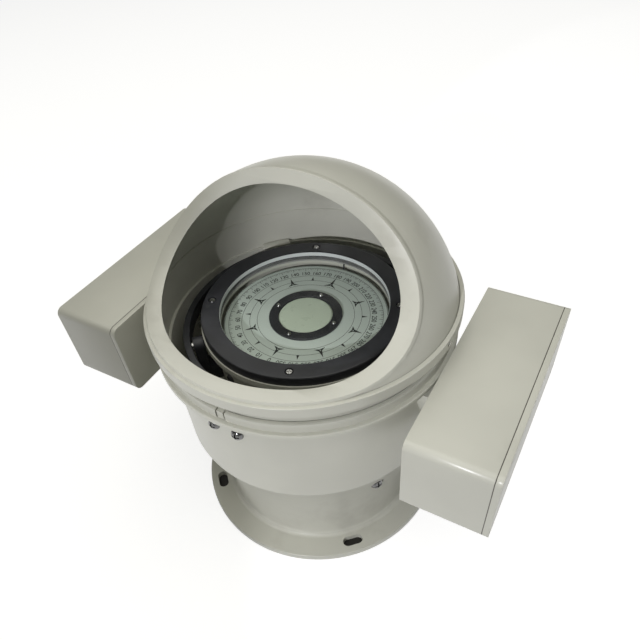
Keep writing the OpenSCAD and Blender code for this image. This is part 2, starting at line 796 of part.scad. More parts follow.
// Folded box, open on its starboard side
module box_shell(side) {
    color(cream) difference() {
        in_box(side, 0) difference() {
            linear_extrude(box_w - cover_t) box_outline(0);
            translate([0, 0, sheet]) linear_extrude(box_w) box_outline(sheet);
        }
        at_cover_screws(side) translate([0, 0, -2 * sheet]) cylinder(d = 4 + 2 * seat, h = 3 * sheet);
        if (side > 0) at_saddle_bolts(side) cylinder(d = bolt_d + 2 * seat, h = box_in + 2 * sheet);
    }
}

// Plate that closes a box, with a tongue that fits inside the box's walls
module box_cover(side) {
    color(cream) difference() {
        in_box(side, box_w - cover_t) {
            linear_extrude(cover_t) box_outline(0);
            translate([0, 0, -tongue]) linear_extrude(tongue + eps) difference() {
                box_outline(sheet + seat / 2);
                box_outline(sheet + tongue_t);
            }
        }
        at_cover_screws(side) translate([0, 0, -2 * sheet - 1]) cylinder(d = 4, h = 3 * sheet);
        if (side < 0) at_saddle_bolts(side) cylinder(d = bolt_d + 2 * seat, h = box_in + 2 * cover_t);
    }
}

// Stack of plates on the floor of the box
module iron_plates(side) {
    x0 = sheet + 5;
    plate_w = box_w - cover_t - tongue - 1 - x0;
    plate_l = box_l - 44;
    color(dark_iron) in_box(side, x0) for (i = [0:iron_n - 1])
        translate([box_h / 2 - sheet - (i + 1) * (iron_t + iron_gap), -plate_l / 2, 0])
            cube([iron_t, plate_l, plate_w]);
}

// Packing piece between the drum and a box, wider at the top
module saddle(side) {
    top = box_z + 12;
    foot = box_z - 24;
    color(cream) difference() {
        mirror([side < 0 ? 1 : 0, 0, 0]) translate([drum_bore - 2, 0, 0]) rotate([90, 0, 90])
            linear_extrude(box_in - drum_bore + 2)
                polygon([[-28, top], [28, top], [28, top - 10], [18, foot], [-18, foot], [-28, top - 10]]);
        translate([0, 0, foot - 1]) cylinder(r = drum_r + 0.05, h = top - foot + 2, $fn = 180);
        at_saddle_bolts(side) cylinder(d = bolt_d + 2 * seat, h = box_in + 1);
    }
}

module starboard_box() { box_shell(1); }
module port_box() { box_shell(-1); }
module starboard_cover() { box_cover(1); }
module port_cover() { box_cover(-1); }
module starboard_iron_plates() { iron_plates(1); }
module port_iron_plates() { iron_plates(-1); }
module starboard_saddle() { saddle(1); }
module port_saddle() { saddle(-1); }

// Bolts from inside each box to nuts inside the drum
module saddle_bolts() {
    nut_r = sqrt(pow(drum_bore, 2) - pow(saddle_bolt_y + 6, 2)) - 0.3;
    nut_t = 4;
    color(bright_steel) for (side = [-1, 1]) at_saddle_bolts(side) {
        grip = side > 0 ? sheet : cover_t;
        translate([0, 0, box_in + grip]) hex_bolt(bolt_d, box_in + grip - nut_r + nut_t + 1, 10, 2.4);
        translate([0, 0, nut_r - nut_t]) difference() {
            cylinder(d = 10 / cos(30), h = nut_t, $fn = 6);
            translate([0, 0, -1]) cylinder(d = bolt_d + 0.02, h = nut_t + 2);
        }
    }
}

module cover_screws() {
    color(bright_steel) for (side = [-1, 1]) at_cover_screws(side)
        cross_screw(4, sheet + tongue_t + 1, 7.5, 1.8);
}

pedestal();
casing();
casing_bolts();
lamp_bracket();
lamp_bracket_screws();
lamp_holder();
lamp_bulb();
magnet_rack();
rack_screws();
athwart_magnets();
fore_aft_magnets();
heeling_tube();
magnet_bucket();
heeling_magnet();
bearing_blocks();
bearing_block_screws();
outer_pivot_pins();
gimbal_ring();
inner_pivot_pins();
pivot_arms();
arm_screws();
bowl_shell();
glass_gasket();
top_glass();
bezel();
bezel_screws();
lubber_pointer();
filler_plug();
pivot_bridge();
pivot_pin();
expansion_diaphragm();
bottom_glass();
bottom_ring();
bottom_ring_screws();
balance_weight();
card_disc();
card_float();
jewel_cap();
card_magnets();
card_window();
card_clamp_ring();
card_clamp_screws();
hood_dome();
hood_trim();
hood_ring();
hood_set_screws();
starboard_box();
starboard_cover();
starboard_iron_plates();
starboard_saddle();
port_box();
port_cover();
port_iron_plates();
port_saddle();
saddle_bolts();
cover_screws();
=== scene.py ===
import json
import math

import bpy
from bpy.props import FloatProperty, FloatVectorProperty, PointerProperty
from mathutils import Euler, Matrix, Vector

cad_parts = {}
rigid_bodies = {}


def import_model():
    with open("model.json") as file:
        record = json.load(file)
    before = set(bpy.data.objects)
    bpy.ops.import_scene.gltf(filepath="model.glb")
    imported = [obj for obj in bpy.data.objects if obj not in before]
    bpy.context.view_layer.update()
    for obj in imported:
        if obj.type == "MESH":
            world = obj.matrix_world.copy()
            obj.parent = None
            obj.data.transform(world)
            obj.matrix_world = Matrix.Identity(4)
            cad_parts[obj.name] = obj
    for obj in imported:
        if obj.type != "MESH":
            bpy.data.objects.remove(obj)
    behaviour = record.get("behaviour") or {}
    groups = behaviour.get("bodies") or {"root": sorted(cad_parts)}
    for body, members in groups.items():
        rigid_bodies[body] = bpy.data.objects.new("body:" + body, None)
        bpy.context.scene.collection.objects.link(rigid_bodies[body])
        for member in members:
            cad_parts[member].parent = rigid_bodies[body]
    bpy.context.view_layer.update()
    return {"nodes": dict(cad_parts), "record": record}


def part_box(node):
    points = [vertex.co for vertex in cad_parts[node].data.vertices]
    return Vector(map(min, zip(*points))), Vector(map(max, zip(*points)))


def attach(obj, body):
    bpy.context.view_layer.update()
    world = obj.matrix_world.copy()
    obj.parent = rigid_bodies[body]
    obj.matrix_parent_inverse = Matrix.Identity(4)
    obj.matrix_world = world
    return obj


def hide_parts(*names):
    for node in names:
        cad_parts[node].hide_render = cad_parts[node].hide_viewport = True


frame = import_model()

bl_info = {
    "name": "Liquid Compass",
    "version": (1, 0, 0),
    "blender": (4, 5, 0),
    "location": "View3D > Sidebar > Compass",
    "description": "Paint, dial, glass and studio for a hooded liquid compass",
    "category": "Add Mesh",
}

MM = 0.001

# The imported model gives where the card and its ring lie
CARD_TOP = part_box("card_disc")[1].z
CARD_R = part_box("card_disc")[1].x
BEZEL_BORE = CARD_R + 0.9 * MM
FLANGE_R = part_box("pedestal")[1].x
HOOD_RING_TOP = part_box("hood_ring")[1].z
HOOD_RING_BORE = 112 * MM
HOOD_GROOVE = 118 * MM
# How far in the groove's top edge moves, so that paint seems to fill it
GROOVE_FILL = 1.3 * MM

# How a copy of a CAD node is merged, cleaned and shaded
MERGE_GAP = 0.002 * MM
SAME_PLACE = 0.005 * MM
FLAT_ANGLE = math.radians(0.2)
EDGE_ANGLE = math.radians(50)
SMOOTH_ANGLE = math.radians(32)
# A face this steep, small and low is a turned edge's chamfer
CHAMFER_SLOPE = (0.6, 0.8)
CHAMFER_AREA = 12 * MM ** 2
CHAMFER_HALF_HEIGHT = 1.2 * MM
# A face looks at the hood's axis if its normal has this share in that direction
INWARD_SHARE = 0.5

# The card's print: widths of its ticks, and length and width of its figures' points.
# The line at the rim is wider than the others, and the star at 180 degrees is larger.
SHORT_TICK_WIDTH = 0.22 * MM
MIDDLE_TICK_WIDTH = 0.26 * MM
LONG_TICK_WIDTH = 0.34 * MM
RIM_LINE_IN = 0.5 * MM
RIM_LINE = 1.2
SMALL_POINT = (4.6 * MM, 2.2 * MM)
STAR_POINT = (7.4 * MM, 2.6 * MM)
STAR_ARM = (4.6 * MM, 2.2 * MM)
STAR_ARM_ANGLE = math.radians(118)
STAR_HUB = 0.4 * MM
STAR_OUT = 3.4 * MM
LARGE_STAR = 1.35
LARGE_STAR_AT = 180
DIGIT_WIDTH = 0.88
DIGIT_WEIGHT = 0.05 * MM
# Height of the font's capitals, as a share of its size
CAPITALS = 0.7

# Noise scales of the enamel, in features a metre
CLOUDS = 14
SMUDGES = 9
SPECKS = 58
GLOSS = 30
ORANGE_PEEL = 650
SEAM_HALF = 0.3 * MM

# The domed screw heads, as shares of the head's radius, and how far they pass the flat ones
HEAD_RISE = 0.74
CROSS_LENGTH = 1.25
CROSS_WIDTH = 0.26
CROSS_HEIGHT = 1.2
HEAD_COVER = 0.15 * MM
# Points past this share of the flat head's radius belong to its edge
HEAD_EDGE = 0.98
HEAD_SMOOTH = math.radians(40)

# The studio
FLOOR_SIZE = 12
FLOOR_DROP = 0.2 * MM
FLOOR_COLOUR = (0.45, 0.45, 0.44)
# Painted shade: dark floor colour under the flange, standing in for the shadow seen through its slots
SLOT_SHADE_COLOUR = (0.05, 0.048, 0.045)
FLOOR_GLOW = 0.75
TOP_PLACE = (-0.15, 0.02, 1.9)
TOP_AIM = (0, 0, 0.2)
TOP_SIZE = 2.6
TOP_COLOUR = (1, 0.985, 0.915)
FRONT_PLACE = (0.22, -1.55, 0.885)
FRONT_AIM = (0.175, 0, 0.17)
FRONT_SIZE = 0.02
FRONT_COLOUR = (0.955, 0.955, 1.0)
FRONT_CONE = math.radians(18.7)
FRONT_BLEND = 0.12


# Sizes and colours that a user would change

class CompassColours(bpy.types.PropertyGroup):
    enamel: FloatVectorProperty(
        name="Enamel", description="Cream enamel of the castings and boxes",
        subtype="COLOR", size=3, min=0, max=1, default=(0.56, 0.56, 0.49))
    # The dirt colour, made darker, also gives the painted shade in the boxes' seams
    enamel_dirt: FloatVectorProperty(
        name="Enamel dirt", description="Handling marks and dust on the enamel",
        subtype="COLOR", size=3, min=0, max=1, default=(0.21, 0.185, 0.15))
    black: FloatVectorProperty(
        name="Black paint", description="Satin black of the bezel and gimbal ring",
        subtype="COLOR", size=3, min=0, max=1, default=(0.022, 0.023, 0.027))
    card: FloatVectorProperty(
        name="Card", description="Ground colour of the compass card",
        subtype="COLOR", size=3, min=0, max=1, default=(0.56, 0.63, 0.58))
    wall: FloatVectorProperty(
        name="Bowl wall", description="Pale paint round the card, inside bowl and bezel",
        subtype="COLOR", size=3, min=0, max=1, default=(0.62, 0.66, 0.64))
    window: FloatVectorProperty(
        name="Card centre", description="Pale window in the middle of the card",
        subtype="COLOR", size=3, min=0, max=1, default=(0.55, 0.63, 0.51))
    screw: FloatVectorProperty(
        name="Drum screws", description="Dark chrome of the screws on the drum and neck",
        subtype="COLOR", size=3, min=0, max=1, default=(0.2, 0.2, 0.2))
    ink: FloatVectorProperty(
        name="Ink", description="Printing on the card",
        subtype="COLOR", size=3, min=0, max=1, default=(0.012, 0.014, 0.014))


class CompassDial(bpy.types.PropertyGroup):
    line: FloatProperty(
        name="Line", description="Width of the card's circles", unit="LENGTH", default=0.28 * MM)
    ink_depth: FloatProperty(
        name="Ink depth", description="Height of the print over the card", unit="LENGTH",
        default=0.05 * MM)
    scale_r: FloatProperty(
        name="Scale radius", description="Radius of the circle that carries the degree scale",
        unit="LENGTH", default=61.2 * MM)
    tick_1: FloatProperty(
        name="Short tick", description="Length of the two-degree ticks", unit="LENGTH",
        default=1.5 * MM)
    tick_5: FloatProperty(
        name="Middle tick", description="Length of the five-degree ticks", unit="LENGTH",
        default=2.2 * MM)
    tick_10: FloatProperty(
        name="Long tick", description="Length of the ten-degree ticks", unit="LENGTH",
        default=3.0 * MM)
    numeral_r: FloatProperty(
        name="Numeral radius", description="Radius of the numerals' feet", unit="LENGTH",
        default=52.3 * MM)
    numeral_h: FloatProperty(
        name="Numeral height", description="Height of the numerals", unit="LENGTH",
        default=4.0 * MM)
    outer_r: FloatProperty(
        name="Outer circle", description="Circle inside the numerals", unit="LENGTH",
        default=50.9 * MM)
    middle_r: FloatProperty(
        name="Middle circle", description="Circle that carries the small points", unit="LENGTH",
        default=44.5 * MM)
    inner_r: FloatProperty(
        name="Inner circle", description="Circle that carries the large points", unit="LENGTH",
        default=38.6 * MM)
    hood_fillet: FloatProperty(
        name="Hood fillet", description="Height over which the dome's inside turns into its ring",
        unit="LENGTH", default=34 * MM)


class CompassStudio(bpy.types.PropertyGroup):
    camera_place: FloatVectorProperty(
        name="Camera place", description="Where the camera stands", subtype="TRANSLATION", size=3,
        default=(0.1957, -0.2858, 0.4903))
    camera_turn: FloatVectorProperty(
        name="Camera turn", description="Which way the camera looks", subtype="EULER", size=3,
        default=(math.radians(43.926), math.radians(3.881), math.radians(28.896)))
    lens: FloatProperty(
        name="Lens", description="Focal length in millimetres", default=32.42)
    shift_x: FloatProperty(name="Shift X", description="Sideways lens shift", default=-0.0031)
    shift_y: FloatProperty(name="Shift Y", description="Upward lens shift", default=0.0703)
    top_power: FloatProperty(
        name="Top", description="Power of the large lamp overhead", unit="POWER", default=27.5)
    front_power: FloatProperty(
        name="Front", description="Power of the small lamp in front", unit="POWER", default=61)
    sky: FloatProperty(name="Sky", description="Strength of the even light", default=0.175)


# Helpers for selection and meshes

def select_only(*objects):
    bpy.ops.object.select_all(action="DESELECT")
    for obj in objects:
        obj.select_set(True)
    bpy.context.view_layer.objects.active = objects[0]


def in_edit_mode(obj, *steps):
    """Runs the steps in edit mode with the whole mesh selected"""
    select_only(obj)
    bpy.ops.object.mode_set(mode="EDIT")
    bpy.ops.mesh.select_all(action="SELECT")
    for step in steps:
        step()
    bpy.ops.object.mode_set(mode="OBJECT")


def place_in_mesh(obj):
    """Moves the object's place into its mesh"""
    select_only(obj)
    bpy.ops.object.transform_apply(location=True, rotation=True, scale=True)


def copy_of(obj, matrix):
    twin = obj.copy()
    twin.data = obj.data.copy()
    twin.data.transform(matrix)
    bpy.context.scene.collection.objects.link(twin)
    return twin


def join(name, objects):
    select_only(*objects)
    bpy.ops.object.join()
    whole = bpy.context.view_layer.objects.active
    whole.name = name
    return whole


def dress(obj, material):
    obj.data.materials.clear()
    obj.data.materials.append(material)


def finish(obj, body, material):
    dress(obj, material)
    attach(obj, body)


def body_of(node):
    return next(b for b, nodes in frame["record"]["behaviour"]["bodies"].items() if node in nodes)


def paint(node, material):
    """Gives a CAD node its finish and leaves its mesh alone"""
    dress(frame["nodes"][node], material)


def merged_copy(node):
    """A copy of a CAD node with its loose triangles merged"""
    piece = bpy.data.objects.new(node + "_finished", frame["nodes"][node].data.copy())
    bpy.context.scene.collection.objects.link(piece)
    in_edit_mode(piece, lambda: bpy.ops.mesh.remove_doubles(threshold=MERGE_GAP))
    return piece


def stand_for(piece, node, material):
    """Lets the piece show in place of the CAD node, on its body"""
    finish(piece, body_of(node), material)
    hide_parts(node)


def eased_copy(node, material, bevel):
    """A merged copy of a CAD node with its sharp edges eased"""
    piece = merged_copy(node)
    in_edit_mode(piece, lambda: bpy.ops.mesh.dissolve_limited(angle_limit=FLAT_ANGLE))
    edge = piece.modifiers.new("edge", "BEVEL")
    edge.width = bevel
    edge.segments = 2
    edge.limit_method = "ANGLE"
    edge.angle_limit = EDGE_ANGLE
    edge.use_clamp_overlap = True
    edge.harden_normals = False
    select_only(piece)
    bpy.ops.object.modifier_apply(modifier="edge")
    bpy.ops.object.shade_smooth_by_angle(angle=SMOOTH_ANGLE)
    stand_for(piece, node, material)


def rounded(normal, place, face):
    """The normal that a narrow chamfer has where it is a round, as on a turned edge"""
    low, high = CHAMFER_SLOPE
    steep = low < abs(face.normal.z) < high
    tall = abs(place.z - face.center.z) > CHAMFER_HALF_HEIGHT
    if not steep or tall or face.area > CHAMFER_AREA:
        return normal
    if (place.z > face.center.z) == (normal.z > 0):
        return Vector((0, 0, math.copysign(1, normal.z)))
    return Vector((normal.x, normal.y, 0)).normalized()


def turned_copy(node, material, shade_as=rounded):
    """A merged copy of a turned CAD node, each corner shaded as shade_as(normal, place, face) says"""
    source = frame["nodes"][node].data
    piece = merged_copy(node)
    mesh = piece.data
    normals = []
    # Merging drops slivers and keeps the order of the other faces
    old_faces = iter(source.polygons)
    for face in mesh.polygons:
        old = next(f for f in old_faces if (f.center - face.center).length < SAME_PLACE)
        for i in face.loop_indices:
            place = mesh.vertices[mesh.loops[i].vertex_index].co
            nearest = min(old.loop_indices, key=lambda j: (
                source.vertices[source.loops[j].vertex_index].co - place).length_squared)
            normals.append(shade_as(source.corner_normals[nearest].vector.copy(), place, face))
    mesh.normals_split_custom_set(normals)
    stand_for(piece, node, material)
    return piece


# Materials

class Nodes:
    """Short names for building a node tree"""

    def __init__(self, name):
        self.material = bpy.data.materials.new(name)
        self.material.use_nodes = True
        self.tree = self.material.node_tree
        self.shader = self.tree.nodes["Principled BSDF"]
        coords = self.tree.nodes.new("ShaderNodeTexCoord")
        self.at = coords.outputs["Object"]

    def add(self, kind, **settings):
        node = self.tree.nodes.new("ShaderNode" + kind)
        for key, value in settings.items():
            setattr(node, key, value)
        return node

    def link(self, source, target):
        self.tree.links.new(source, target)

    def noise(self, scale, detail=2.0, rough=0.5):
        node = self.add("TexNoise")
        node.inputs["Scale"].default_value = scale
        node.inputs["Detail"].default_value = detail
        node.inputs["Roughness"].default_value = rough
        self.link(self.at, node.inputs["Vector"])
        return node.outputs["Fac"]

    def cells(self, scale):
        node = self.add("TexVoronoi")
        node.inputs["Scale"].default_value = scale
        self.link(self.at, node.inputs["Vector"])
        return node

    def remap(self, value, low, high, to_low=0.0, to_high=1.0):
        node = self.add("MapRange")
        self.link(value, node.inputs["Value"])
        node.inputs["From Min"].default_value = low
        node.inputs["From Max"].default_value = high
        node.inputs["To Min"].default_value = to_low
        node.inputs["To Max"].default_value = to_high
        return node.outputs["Result"]

    def line_at(self, x, half):
        """1 on a line across the piece at x, 0 away from it"""
        parts = self.add("SeparateXYZ")
        self.link(self.at, parts.inputs[0])
        away = self.add("Math", operation="SUBTRACT")
        self.link(parts.outputs["X"], away.inputs[0])
        away.inputs[1].default_value = x
        size = self.add("Math", operation="ABSOLUTE")
        self.link(away.outputs[0], size.inputs[0])
        return self.remap(size.outputs[0], half * 0.6, half * 1.4, 1.0, 0.0)

    def from_axis(self):
        """Distance from the upright axis"""
        level = self.add("VectorMath", operation="MULTIPLY")
        self.link(self.at, level.inputs[0])
        level.inputs[1].default_value = (1, 1, 0)
        reach = self.add("VectorMath", operation="LENGTH")
        self.link(level.outputs[0], reach.inputs[0])
        return reach.outputs["Value"]

    def times(self, a, b):
        node = self.add("Math", operation="MULTIPLY")
        self.link(a, node.inputs[0])
        if isinstance(b, float):
            node.inputs[1].default_value = b
        else:
            self.link(b, node.inputs[1])
        return node.outputs[0]

    def larger(self, a, b):
        node = self.add("Math", operation="MAXIMUM")
        self.link(a, node.inputs[0])
        self.link(b, node.inputs[1])
        return node.outputs[0]

    def blend(self, fac, a, b):
        node = self.add("Mix", data_type="RGBA")
        self.link(fac, node.inputs["Factor"])
        for socket, colour in ((node.inputs[6], a), (node.inputs[7], b)):
            if hasattr(colour, "is_linked"):
                self.link(colour, socket)
            else:
                socket.default_value = (*colour, 1)
        return node.outputs[2]

    def colour(self, value):
        self.link(value, self.shader.inputs["Base Color"])

    def roughness(self, value):
        self.link(value, self.shader.inputs["Roughness"])

    def bump(self, height, depth, strength=1.0):
        node = self.add("Bump")
        node.inputs["Distance"].default_value = depth
        node.inputs["Strength"].default_value = strength
        self.link(height, node.inputs["Height"])
        self.link(node.outputs["Normal"], self.shader.inputs["Normal"])


def shade(colour, factor):
    return tuple(min(1.0, c * factor) for c in colour)


def enamel(name, colour, dirt_and_shade, wear=1.0, seam=None):
    """Sprayed enamel: orange peel, faint clouds, specks, smudges, and painted shade along the seam
    where x is seam
    """
    n = Nodes(name)
    clouds = n.remap(n.noise(CLOUDS, 3), 0.35, 0.65)
    base = n.blend(clouds, shade(colour, 0.955), shade(colour, 1.03))
    smudge = n.remap(n.noise(SMUDGES, 6, 0.62), 0.57, 0.75, 0.0, 0.34 * wear)
    base = n.blend(smudge, base, dirt_and_shade)
    # A few of the cells have a speck in their middle
    cells = n.cells(SPECKS)
    keep = n.remap(cells.outputs["Color"], 0.84, 0.85)
    spot = n.remap(cells.outputs["Distance"], 0.03, 0.055, 0.75 * wear, 0.0)
    base = n.blend(n.times(spot, keep), base, shade(dirt_and_shade, 0.3))
    if seam:
        # Painted shade: a dark line where the box meets its cover, standing in for the shadow in their
        # gap
        base = n.blend(n.line_at(seam, SEAM_HALF), base, shade(dirt_and_shade, 0.25))
    n.colour(base)
    n.roughness(n.remap(n.noise(GLOSS, 2), 0.2, 0.8, 0.285, 0.35))
    n.bump(n.noise(ORANGE_PEEL, 2), 0.05 * MM, 0.3)
    return n.material


def satin_black(name, colour, grain=900, low=0.36, high=0.5, wall=None):
    """Satin black, with the pale wall paint on the bezel's bore if wall is given"""
    n = Nodes(name)
    black = n.blend(n.remap(n.noise(60, 4), 0.35, 0.65), shade(colour, 0.85), shade(colour, 1.3))
    if wall:
        outside = n.remap(n.from_axis(), BEZEL_BORE + 0.3 * MM, BEZEL_BORE + 0.4 * MM)
        black = n.blend(outside, wall, black)
    n.colour(black)
    n.roughness(n.remap(n.noise(120, 3), 0.3, 0.7, low, high))
    n.bump(n.noise(grain, 2), 0.05 * MM, 0.5)
    return n.material


def metal(name, colour, low, high, grain=900):
    n = Nodes(name)
    n.shader.inputs["Metallic"].default_value = 1.0
    n.colour(n.blend(n.remap(n.noise(240, 4), 0.35, 0.65), shade(colour, 0.8), colour))
    n.roughness(n.remap(n.noise(400, 3), 0.3, 0.7, low, high))
    n.bump(n.noise(grain, 2), 0.03 * MM, 0.3)
    return n.material


def matt(name, colour, low=0.5, high=0.65, spread=0.06):
    n = Nodes(name)
    clouds = n.remap(n.noise(40, 4), 0.35, 0.65)
    n.colour(n.blend(clouds, shade(colour, 1 - spread), shade(colour, 1 + spread)))
    n.roughness(n.remap(n.noise(200, 3), 0.3, 0.7, low, high))
    n.bump(n.noise(1500, 2), 0.02 * MM, 0.4)
    return n.material


def clear_glass(name, tint):
    """Thin polished pane: it mirrors at a slant and lets lamps through"""
    n = Nodes(name)
    tree = n.tree
    output = tree.nodes["Material Output"]
    tree.nodes.remove(n.shader)
    clear = n.add("BsdfTransparent")
    clear.inputs["Color"].default_value = (*tint, 1)
    gloss = n.add("BsdfGlossy")
    n.link(n.remap(n.noise(30, 3), 0.3, 0.7, 0.02, 0.06), gloss.inputs["Roughness"])
    facing = n.add("Fresnel")
    facing.inputs["IOR"].default_value = 1.45
    side = n.add("NewGeometry")
    outside = n.remap(side.outputs["Backfacing"], 0, 1, 1, 0)
    both = n.add("MixShader")
    n.link(n.times(facing.outputs[0], outside), both.inputs[0])
    n.link(clear.outputs[0], both.inputs[1])
    n.link(gloss.outputs[0], both.inputs[2])
    n.link(both.outputs[0], output.inputs["Surface"])
    return n.material


# Operators: one for each group of pieces

class CompassOperator:
    """What the operators share: the user's settings"""
    bl_options = {"REGISTER", "UNDO"}

    @property
    def colours(self):
        return bpy.context.scene.compass_colours

    @property
    def dial(self):
        return bpy.context.scene.compass_dial


# Castings whose edges are eased, and by how much
CAST_PARTS = {
    "hood_trim": 0.3 * MM, "starboard_saddle": 0.8 * MM, "port_saddle": 0.8 * MM,
    "bearing_blocks": 0.5 * MM,
}
BOX_EDGE = 0.35 * MM
# Each side's box with its cover, and where their seam lies
BOX_SEAMS = {"starboard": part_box("starboard_box")[1].x, "port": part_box("port_box")[1].x}


class COMPASS_OT_castings(CompassOperator, bpy.types.Operator):
    """Enamels the pedestal, casing, hood and saddles"""
    bl_idname = "compass.castings"
    bl_label = "Castings"

    def inward(self, normal, place):
        """The level direction to the hood's axis, if the face looks that way"""
        level = Vector((-place.x, -place.y, 0)).normalized()
        return level if normal.dot(level) > INWARD_SHARE else None

    def ring_corner(self, normal, place, face):
        level = self.inward(normal, place)
        return level if level and place.xy.length < HOOD_RING_BORE else rounded(normal, place, face)

    def dome_corner(self, normal, place, face):
        """Turns the dome's inside into the ring's over the fillet's height"""
        level = self.inward(normal, place)
        up = (place.z - HOOD_RING_TOP) / self.dial.hood_fillet
        if level is None or up >= 1:
            return normal
        up = max(0.0, up)
        return level.lerp(normal, up * up * (3 - 2 * up)).normalized()

    def close_seam(self, ring):
        """Brings the groove's top edge in to the dome, as the paint fills it"""
        for vertex in ring.data.vertices:
            reach = vertex.co.xy.length
            on_edge = abs(reach - HOOD_GROOVE) < 0.2 * MM
            on_top = vertex.co.z > HOOD_RING_TOP - 0.05 * MM
            if on_edge and on_top:
                vertex.co.xy *= (HOOD_GROOVE - GROOVE_FILL) / reach

    def execute(self, context):
        cream = enamel("cream_enamel", self.colours.enamel, self.colours.enamel_dirt)
        for node, edge in CAST_PARTS.items():
            eased_copy(node, cream, edge)
        for node in ("pedestal", "casing"):
            turned_copy(node, cream)
        self.close_seam(turned_copy("hood_ring", cream, self.ring_corner))
        turned_copy("hood_dome", cream, self.dome_corner)
        return {"FINISHED"}


class COMPASS_OT_boxes(CompassOperator, bpy.types.Operator):
    """Enamels the corrector boxes and their cover plates"""
    bl_idname = "compass.boxes"
    bl_label = "Corrector boxes"

    def execute(self, context):
        for side, seam in BOX_SEAMS.items():
            cream = enamel(
                side + "_enamel", self.colours.enamel, self.colours.enamel_dirt, wear=0.6, seam=seam)
            for part in ("_box", "_cover"):
                eased_copy(side + part, cream, BOX_EDGE)
        return {"FINISHED"}


class COMPASS_OT_bowl(CompassOperator, bpy.types.Operator):
    """Finishes the bowl, bezel and gimbal ring"""
    bl_idname = "compass.bowl"
    bl_label = "Bowl and gimbal"

    def execute(self, context):
        black = satin_black("satin_black", self.colours.black)
        cream = enamel("bowl_enamel", self.colours.enamel, self.colours.enamel_dirt, wear=0.5)
        for node, edge in (("pivot_arms", 0.5 * MM), ("bottom_ring", 0.4 * MM)):
            eased_copy(node, black, edge)
        paint("lubber_pointer", black)
        turned_copy("gimbal_ring", black)
        turned_copy("bezel", satin_black("bezel_black", self.colours.black, wall=self.colours.wall))
        paint("bowl_shell", cream)
        return {"FINISHED"}


